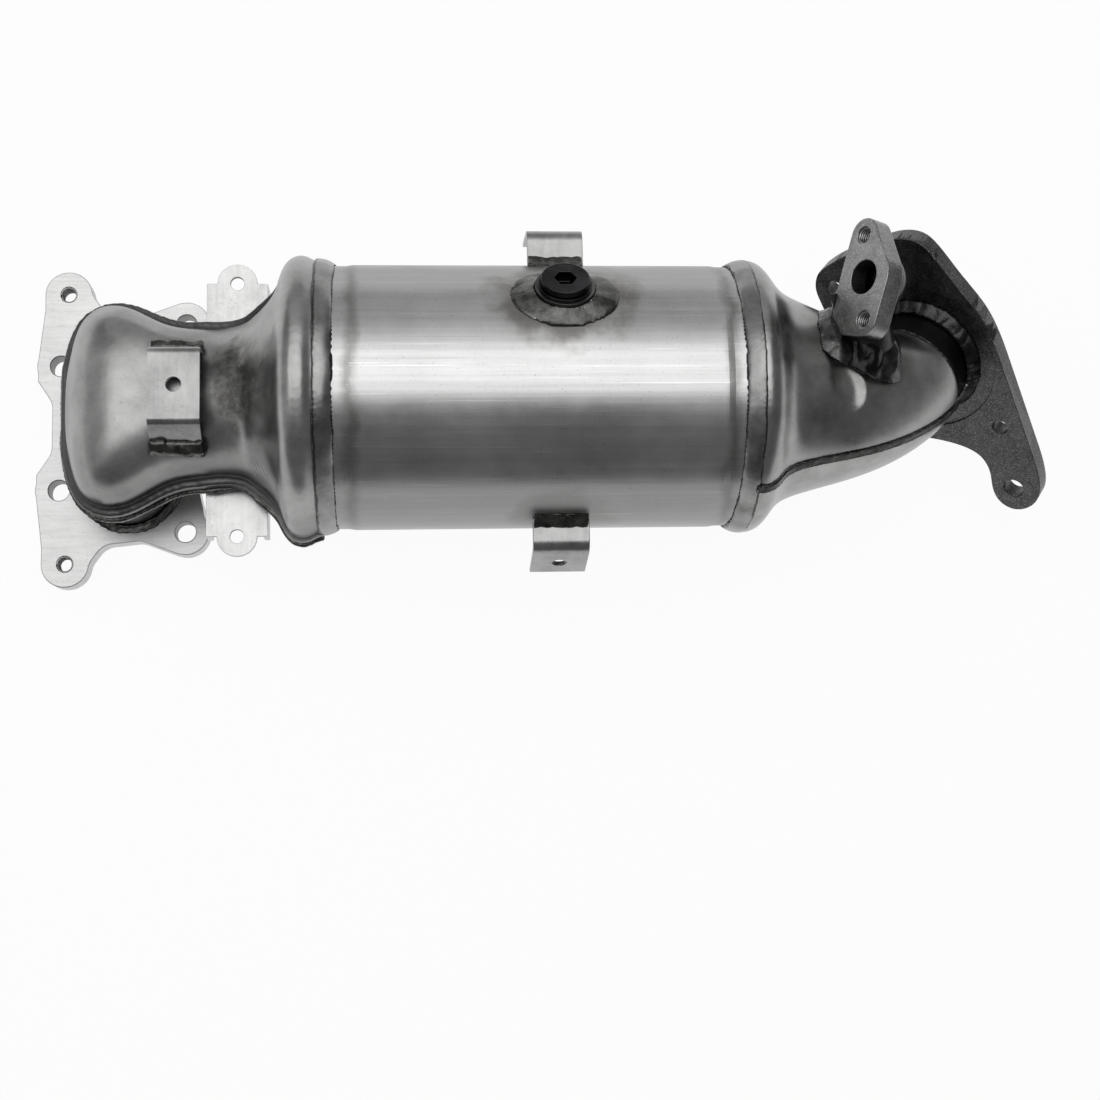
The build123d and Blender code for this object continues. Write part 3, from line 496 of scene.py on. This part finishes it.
def can_marks(tree, colour):
    """Heat marks at the bung, the bracket feet and both ends, scratches, painted shade on the flanks."""
    scorch_edge = noise(tree, (60, 60, 60), detail=5.0)
    for place, radius, depth in (
        (bung_place, bung_halo, 0.8),
        (Vector((bung_x, -foot_reach, foot_level)), foot_halo, 0.45),
        (Vector((bung_x, foot_reach, foot_level)), foot_halo, 0.45),
    ):
        halo = spot(tree, place, radius, soft=0.008, wobble=scorch_edge, stretch=(0.9, 1, 1))
        colour = stained(tree, colour, halo, strength=depth, stain=(0.17, 0.16, 0.15))
    way = height_along(tree, (0, 0, 0), (1, 0, 0))
    way = maths(tree, "ADD", way, swing(tree, scorch_edge, 0.012))
    for end in (can_low[0] + inlet_tint_inset, can_high[0] - outlet_tint_inset):
        tint = band(tree, way, end, half_width=0.0026, soft=0.0026)
        colour = stained(tree, colour, tint, strength=0.55, stain=(0.13, 0.125, 0.12))
    scratches = noise(tree, (9, 900, 900), detail=2.0, rough=0.8)
    bright_lines = ramp(tree, scratches, ((0.66, 0.0), (0.72, 0.55)))
    colour = mixed(tree, bright_lines, colour, (0.86, 0.86, 0.855))
    dark_lines = ramp(tree, scratches, ((0.27, 0.45), (0.34, 0.0)))
    colour = mixed(tree, dark_lines, colour, (0.28, 0.275, 0.265))
    # Painted shade: the sheet darkens from near its top down the flanks and underneath.
    above_axis = height_along(tree, (0, 0, axis_height), (0, 0, 1))
    flank_painted_shade = smooth_fall(tree, above_axis, start=0.028, end=0.062)
    return stained(tree, colour, flank_painted_shade, strength=0.62, stain=(0.15, 0.15, 0.149))


can_finish = metal(
    "rolled_can", low=(0.47, 0.47, 0.468), high=(0.60, 0.60, 0.598), roughness=0.31,
    grain=(5, 420, 420), grain_bump=0.07, cloud=22.0, cloud_bump=0.04, marks=can_marks,
)
dress("can_body", can_finish)

# Ring beads and the lengthwise seam. The shells' sleeves are joined to the can by
# a broad flat bead run on a turntable, scaled grey, with a dark line at each edge.
# The beads are drawn wider than their solids, as wide as the photo shows them.
ring_cover = 1.34
line_inset = 0.0007


def ring_metal(name, sleeve_edge, toe_edge):
    """Filler of a ring bead; both of its edges are dark and wander a little."""

    def edge_lines(tree, colour):
        way = height_along(tree, (0, 0, 0), (1, 0, 0))
        way = maths(tree, "ADD", way, swing(tree, noise(tree, (110, 110, 110)), 0.0026))
        for edge in (sleeve_edge, toe_edge):
            line = band(tree, way, edge, half_width=0.0005, soft=0.0004)
            colour = stained(tree, colour, line, strength=0.9, stain=(0.035, 0.034, 0.032))
        return colour

    return metal(
        name, low=(0.17, 0.17, 0.168), high=(0.36, 0.36, 0.357), roughness=0.30,
        grain=(260, 60, 60), grain_bump=0.15, cloud=60.0, cloud_bump=0.35, marks=edge_lines,
    )


def round_the_can(point):
    """Way round the can's axis."""
    return math.atan2(point.y, point.z - axis_height) * can_surface, 0.0


for node, toe_side in (("inlet_ring_weld", 1), ("outlet_ring_weld", 0)):
    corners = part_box(node)
    toe = corners[toe_side][0]
    sleeve_edge = toe + (corners[1 - toe_side][0] - toe) * ring_cover
    inward = line_inset if sleeve_edge < toe else -line_inset
    finish = ring_metal(node + "_metal", sleeve_edge + inward, toe - inward)
    bead = rippled_bead(
        node, finish, round_the_can, step=0.0032, height=0.00002, lump=0.0005, grain=0.0006, pitch=85,
    )
    finish_with(bead, "settled", "SMOOTH", factor=half_way, iterations=6)
    for vertex in bead.data.vertices:
        vertex.co.x = toe + (vertex.co.x - toe) * ring_cover
grey_filler = bead_metal("grey_filler", low=(0.18, 0.179, 0.175), high=(0.36, 0.358, 0.35), roughness=0.3)
rippled_bead("can_seam_weld", grey_filler, along_can, step=0.0024, height=0.0002, lump=0.0002)

# Bricks and mats. Extruded ceramic honeycomb held in fibre mat, both sealed inside
# the can, where nothing shows them.
ceramic_finish = metal(
    "honeycomb", low=(0.5, 0.46, 0.4), high=(0.6, 0.56, 0.5), roughness=0.8, grain=(700, 700, 700),
)
for node in ("front_brick", "rear_brick", "front_mat", "rear_mat"):
    dress(node, ceramic_finish)

# Sensor bung, its bead, washer and plug. A turned steel bung is welded into the
# can's wall, and a black plug with a hexagon socket closes it. The bead is one
# pool that ran out along the can.
pool_inner = 0.014
pool_ease = 0.006
pool_stretch = 0.24
bung_finish = metal(
    "turned_steel", low=(0.12, 0.12, 0.118), high=(0.22, 0.22, 0.215), roughness=0.28, grain=(60, 60, 60),
)
plug_finish = metal(
    "black_plug", low=(0.03, 0.03, 0.032), high=(0.07, 0.07, 0.075), roughness=0.24, grain=(300, 300, 300),
)
broken_edges("sensor_bung", bung_finish, width=0.0005)
broken_edges("plug_washer", plug_finish, width=0.0002)
broken_edges("sensor_plug", plug_finish, width=0.0004)


def round_an_axis(centre, direction, radius, reach):
    """Way round one axis; across is the distance from the bead's middle."""
    first = direction.orthogonal().normalized()
    second = direction.cross(first)

    def place(point):
        arm = point - centre
        arm = arm - direction * arm.dot(direction)
        way = math.atan2(arm.dot(second), arm.dot(first)) * radius
        return way, max(-1.0, min(1.0, (arm.length - radius) / reach))

    return place


round_the_bung = round_an_axis(bung_place, bung_out, radius=0.018, reach=0.006)
pool = rippled_bead(
    "bung_weld", dark_filler, round_the_bung, step=0.0085, height=0.0001, lump=0.0013, pitch=75,
)
finish_with(pool, "melted", "SMOOTH", factor=half_way, iterations=12)
for vertex in pool.data.vertices:
    spread = smooth_step(((vertex.co - bung_place).length - pool_inner) / pool_ease)
    vertex.co.x += (vertex.co.x - bung_x) * pool_stretch * spread

# Heat shield brackets on the can. Bent strips with a punched tail, their legs
# welded to the sheet along one side.
for node in ("top_bracket", "bottom_bracket"):
    broken_edges(node, strip_finish, width=0.0005)
for node in ("top_bracket_weld", "bottom_bracket_weld"):
    rippled_bead(node, dark_filler, along_can, step=0.0060, height=0.0004, lump=0.0010, grain=0.0004)

# Outlet shells and their seam. Two pressings butted along a narrow bead; the
# front one carries the stub and has a dent beside it.
scorch_place = (0.357, 0.020, 0.109)
scorch_radius = 0.027
dent_place = Vector((0.3475, -0.004, 0.1205))
dent_long = Vector((0.42, -0.90, -0.12)).normalized()
dent_in = Vector((0.25, 0.05, 0.97)).normalized()
dent_half_length = 0.014
dent_half_width = 0.0095
dent_depth = 0.0020


def outlet_marks(tree, colour):
    """Scorch round the stub's foot."""
    ragged = noise(tree, (80, 80, 80), detail=5.0)
    scorch = spot(tree, scorch_place, scorch_radius, soft=0.006, wobble=ragged)
    return stained(tree, colour, scorch, strength=0.45, stain=(0.15, 0.145, 0.135))


cone_finish = pressed_sheet("pressed_cone", outlet_marks)
cone = drawn_shell("outlet_shell_front", cone_finish, grain=0.0009)
for vertex in cone.data.vertices:
    arm = vertex.co - dent_place
    lengthways = arm.dot(dent_long) / dent_half_length
    sideways = (arm - dent_long * arm.dot(dent_long)).length / dent_half_width
    push = max(0.0, 1 - lengthways**2 - sideways**2)
    vertex.co -= dent_in * dent_depth * smooth_step(push)
dress("outlet_shell_rear", cone_finish)
seam_filler = bead_metal("seam_filler", low=(0.03, 0.03, 0.029), high=(0.09, 0.089, 0.087), roughness=0.34)
for node in ("outlet_seam_weld_outer", "outlet_seam_weld_inner"):
    rippled_bead(
        node, seam_filler, along_can, step=0.0040, height=0.0001, lump=0.0004, grain=0.0004, swell=-0.0008,
    )

# Outlet pipe, its beads and the outlet flange. The pipe end is blackened tube, the
# flange a thick plate with gritty scale on its faces and broken edges.
bore_place = Vector(mounts["outlet_bore"]["pos_m"])
bore_out = Vector(mounts["outlet_bore"]["axis"]).normalized()


def gritty(grit_colour):
    """Marks of a scaled or blasted face: fine grit of one colour."""

    def marks(tree, colour):
        grains = noise(tree, (1500, 1500, 1500), detail=2.0)
        return mixed(tree, ramp(tree, grains, ((0.56, 0.0), (0.64, 0.5))), colour, grit_colour)

    return marks


pipe_finish = metal(
    "black_pipe", low=(0.03, 0.03, 0.032), high=(0.075, 0.075, 0.08), roughness=0.30, grain=(300, 300, 300),
)
plate_finish = metal(
    "scaled_plate", low=(0.06, 0.06, 0.06), high=(0.13, 0.13, 0.129), roughness=0.40,
    grain=(700, 700, 700), grain_bump=0.35, cloud=160.0, cloud_bump=0.3, marks=gritty((0.36, 0.36, 0.357)),
)
broken_edges("outlet_pipe", pipe_finish, width=0.0004)
broken_edges("outlet_flange", plate_finish, width=0.0008)
round_the_pipe = round_an_axis(bore_place, bore_out, radius=0.031, reach=0.004)
black_filler = bead_metal(
    "black_filler", low=(0.018, 0.018, 0.018), high=(0.06, 0.06, 0.059), roughness=0.24,
)
rippled_bead(
    "outlet_flange_weld", black_filler, round_the_pipe,
    step=0.0070, height=0.0003, lump=0.0008, grain=0.0006, pitch=130,
)
rippled_bead("outlet_sleeve_weld", dark_filler, round_the_pipe, step=0.0050, height=0.0002, lump=0.0005)

# Small flange on its stub. A machined two-hole flange for exhaust gas, welded to a
# blackened elbow that stands on the front outlet shell. The elbow leans in behind
# the flange, where the photo hides it.
egr_place = Vector(mounts["egr_bore"]["pos_m"])
egr_out = Vector(mounts["egr_bore"]["axis"]).normalized()
egr_long = Vector((0.07, 0.997, -0.041)).normalized()
egr_side = egr_out.cross(egr_long)
flange_middle = -0.006
stub_out = Vector((0.39, 0.711, 0.585)).normalized()
stub_foot = Vector((0.357, 0.020, 0.106))
lean_reach = 0.0105
lean_start = 0.006
lean_height = 0.015
plate_half_width = 0.009
tube_end = 0.016
clamp_ease = 0.004


def leaned(point):
    """Place of a point of the stub once its tube leans in behind the flange."""
    height = (point - stub_foot).dot(stub_out)
    place = point + egr_out * lean_reach * smooth_step((height - lean_start) / lean_height)
    arm = place - egr_place
    behind_plate = 1 - smooth_step((abs(arm.dot(egr_side)) - plate_half_width) / clamp_ease)
    behind_plate = max(behind_plate, smooth_step((height - tube_end) / clamp_ease))
    return place - egr_out * max(0.0, arm.dot(egr_out) - flange_middle) * behind_plate


egr_finish = metal(
    "machined_steel", low=(0.20, 0.20, 0.198), high=(0.36, 0.36, 0.357), roughness=0.34,
    grain=(500, 500, 500), grain_bump=0.25, cloud=110.0, cloud_bump=0.25, marks=gritty((0.62, 0.62, 0.617)),
)
broken_edges("egr_flange", egr_finish, width=0.0009)
stub = joined_copy("egr_stub", "egr_stub_leaned", pipe_finish)
bpy.ops.object.shade_smooth_by_angle(angle=crisp_angle)
for vertex in stub.data.vertices:
    vertex.co = leaned(vertex.co)

# Collar of the stub. A heavy bead that joins the elbow to the shell. Farther from
# the shell than its width it closes in on the tube and is as black as the tube.
collar_width = 0.0045
neck_step = 0.0035
neck_ease = 0.0020
paint_start = 0.0005


def tube_above_collar(tree, colour):
    """Black past the collar's width; the mesh says how far away the shell is."""
    away = tree.nodes.new("ShaderNodeAttribute")
    away.attribute_name = "away"
    tube_part = smooth_fall(
        tree, away.outputs["Fac"], start=collar_width + neck_ease, end=collar_width + paint_start,
    )
    return mixed(tree, tube_part, colour, (0.02, 0.02, 0.02))


collar_finish = bead_metal(
    "collar_filler", low=(0.035, 0.035, 0.034), high=(0.12, 0.12, 0.119), roughness=0.24,
    marks=tube_above_collar,
)
round_the_stub = round_an_axis(stub_foot, stub_out, radius=0.020, reach=0.005)
collar = rippled_bead(
    "egr_stub_weld", collar_finish, round_the_stub,
    step=0.0100, height=0.0003, lump=0.0013, grain=0.0006, pitch=140,
)
cone_skin = BVHTree.FromPolygons(
    [vertex.co for vertex in cone.data.vertices], [face.vertices[:] for face in cone.data.polygons]
)
distances = [cone_skin.find_nearest(vertex.co)[3] for vertex in collar.data.vertices]
collar.data.attributes.new("away", "FLOAT", "POINT").data.foreach_set("value", distances)
for vertex, distance in zip(collar.data.vertices, distances):
    arm = vertex.co - stub_foot
    arm = arm - stub_out * arm.dot(stub_out)
    vertex.co -= arm.normalized() * neck_step * smooth_step((distance - collar_width) / neck_ease)
    vertex.co = leaned(vertex.co)

# Threads. The tapped holes of the inlet flange and of the small flange are cut M8;
# their crests are bright where the tap has polished them.
thread_pitch = 0.00125
thread_turns = 7
thread_depth = 0.0007
root_radius = 0.0041
crest_start, crest_end, groove_start = 0.36, 0.50, 0.86
mouth_gap = 0.9
inlet_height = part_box("inlet_flange")[1][2]
small_hole_reach = mounts["egr_tapped_pair"]["dims"]["pcd_mm"] / 2000
thread_finish = metal(
    "cut_thread", low=(0.34, 0.34, 0.337), high=(0.50, 0.50, 0.496), roughness=0.28, grain=(900, 900, 900),
)
profile = bpy.data.meshes.new("thread_profile")
profile.from_pydata(
    [
        (root_radius, 0, 0),
        (root_radius - thread_depth, 0, thread_pitch * crest_start),
        (root_radius - thread_depth, 0, thread_pitch * crest_end),
        (root_radius, 0, thread_pitch * groove_start),
    ],
    [(0, 1), (1, 2), (2, 3), (3, 0)], [],
)
thread = bpy.data.objects.new("thread", profile)
bpy.context.collection.objects.link(thread)
finish_with(
    thread, "tap", "SCREW", angle=math.tau, screw_offset=thread_pitch, iterations=thread_turns,
    axis="Z", steps=28, render_steps=28, use_smooth_shade=True, use_normal_calculate=True,
)
inlet_far, inlet_near = [Vector((*centre.xy, inlet_height)) for centre in hole_centres("inlet_tapped")]
for name, mouth, outward, host in (
    ("inlet_thread_far", inlet_far, Vector((0, 0, 1)), "inlet_flange"),
    ("inlet_thread_near", inlet_near, Vector((0, 0, 1)), "inlet_flange"),
    ("small_thread_far", egr_place + egr_long * small_hole_reach, egr_out, "egr_flange"),
    ("small_thread_near", egr_place - egr_long * small_hole_reach, egr_out, "egr_flange"),
):
    copy = bpy.data.objects.new(name, thread.data.copy())
    bpy.context.collection.objects.link(copy)
    turn = outward.to_track_quat("Z", "X").to_matrix().to_4x4()
    sunk = Matrix.Translation((0, 0, -thread_pitch * (thread_turns + mouth_gap)))
    copy.data.transform(Matrix.Translation(mouth) @ turn @ sunk)
    copy.data.materials.append(thread_finish)
    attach(copy, "root")
bpy.data.objects.remove(thread)

# Floor. One pale sheet that runs out of the picture. It is white to the camera and
# in reflections, and it keeps the shadow.
floor_depth = -0.0003
floor_width = 8
floor_middle = 0.2
floor_glow = 0.95
bpy.ops.mesh.primitive_plane_add(size=floor_width, location=(floor_middle, 0, floor_depth))
floor = bpy.context.object
floor.name = "pale_floor"
floor_material, floor_tree, floor_shader = new_material("pale_floor")
floor_shader.inputs["Base Color"].default_value = (0.9, 0.9, 0.9, 1)
floor_shader.inputs["Roughness"].default_value = 0.8
ray = floor_tree.nodes.new("ShaderNodeLightPath").outputs
seen = maths(floor_tree, "MAXIMUM", ray["Is Camera Ray"], ray["Is Glossy Ray"])
seen = maths(floor_tree, "MAXIMUM", seen, ray["Is Transmission Ray"])
glow = floor_tree.nodes.new("ShaderNodeEmission")
glow.inputs["Strength"].default_value = 1.0
blend = floor_tree.nodes.new("ShaderNodeMixShader")
floor_tree.links.new(maths(floor_tree, "MULTIPLY", seen, floor_glow), blend.inputs[0])
floor_tree.links.new(floor_shader.outputs[0], blend.inputs[1])
floor_tree.links.new(glow.outputs[0], blend.inputs[2])
floor_tree.links.new(blend.outputs[0], floor_tree.nodes["Material Output"].inputs["Surface"])
floor.data.materials.append(floor_material)

# Studio light. Broad soft boxes above the can and the inlet, and weaker ones above
# the far side, at the left and at the upper side. The near side is left dark, as
# the can's lower flank shows.


def soft_box(name, place, aim, size, radiance):
    """Rectangular soft light that shows in the metal."""
    data = bpy.data.lights.new(name, "AREA")
    data.shape = "RECTANGLE"
    data.size, data.size_y = size
    data.energy = radiance * math.pi * size[0] * size[1]
    lamp = bpy.data.objects.new(name, data)
    bpy.context.collection.objects.link(lamp)
    lamp.location = place
    lamp.rotation_euler = (Vector(aim) - Vector(place)).to_track_quat("-Z", "Y").to_euler()


soft_box("can_light", place=(0.40, 0.28, 1.35), aim=(0.40, 0.28, 0.0), size=(1.00, 1.08), radiance=1.75)
soft_box("far_light", place=(0.20, 1.12, 1.35), aim=(0.20, 1.12, 0.0), size=(2.20, 0.60), radiance=0.75)
soft_box("inlet_light", place=(-0.60, 0.28, 1.35), aim=(-0.60, 0.28, 0.0), size=(0.99, 1.08), radiance=1.55)
soft_box("left_light", place=(-1.5, 0.1, 0.9), aim=(0.0, 0.1, 0.1), size=(1.8, 2.2), radiance=0.30)
soft_box("upper_side_light", place=(0.2, 1.6, 0.75), aim=(0.2, 0, 0.1), size=(2.6, 1.1), radiance=0.30)

world = bpy.data.worlds.new("studio")
world.use_nodes = True
world_tree = world.node_tree
ambient = world_tree.nodes["Background"]
ambient.inputs["Color"].default_value = (1, 1, 1, 1)
ambient.inputs["Strength"].default_value = 0.17
backdrop = world_tree.nodes.new("ShaderNodeBackground")
backdrop.inputs["Color"].default_value = (1, 1, 1, 1)
camera_ray = world_tree.nodes.new("ShaderNodeLightPath").outputs["Is Camera Ray"]
world_mix = world_tree.nodes.new("ShaderNodeMixShader")
world_tree.links.new(camera_ray, world_mix.inputs[0])
world_tree.links.new(ambient.outputs[0], world_mix.inputs[1])
world_tree.links.new(backdrop.outputs[0], world_mix.inputs[2])
world_tree.links.new(world_mix.outputs[0], world_tree.nodes["World Output"].inputs["Surface"])
bpy.context.scene.world = world

# Camera, at the photograph's place and viewing angle. right and back are its own
# axes in the frame, found by fitting the can's sides and the flange's holes.
camera_place = (0.1412, -0.1835, 0.8857)
camera_data = bpy.data.cameras.new("camera")
camera_data.sensor_width = 36.0
camera_data.lens = 55.64
camera = bpy.data.objects.new("camera", camera_data)
bpy.context.collection.objects.link(camera)
right = Vector((0.996, -0.022, 0.082))
back = Vector((-0.084, -0.133, 0.988)).normalized()
right = (right - back * right.dot(back)).normalized()
up = back.cross(right)
stance = Matrix((right, up, back)).transposed().to_4x4()
camera.matrix_world = Matrix.Translation(camera_place) @ stance
bpy.context.scene.camera = camera
bpy.context.scene.view_settings.view_transform = "Standard"
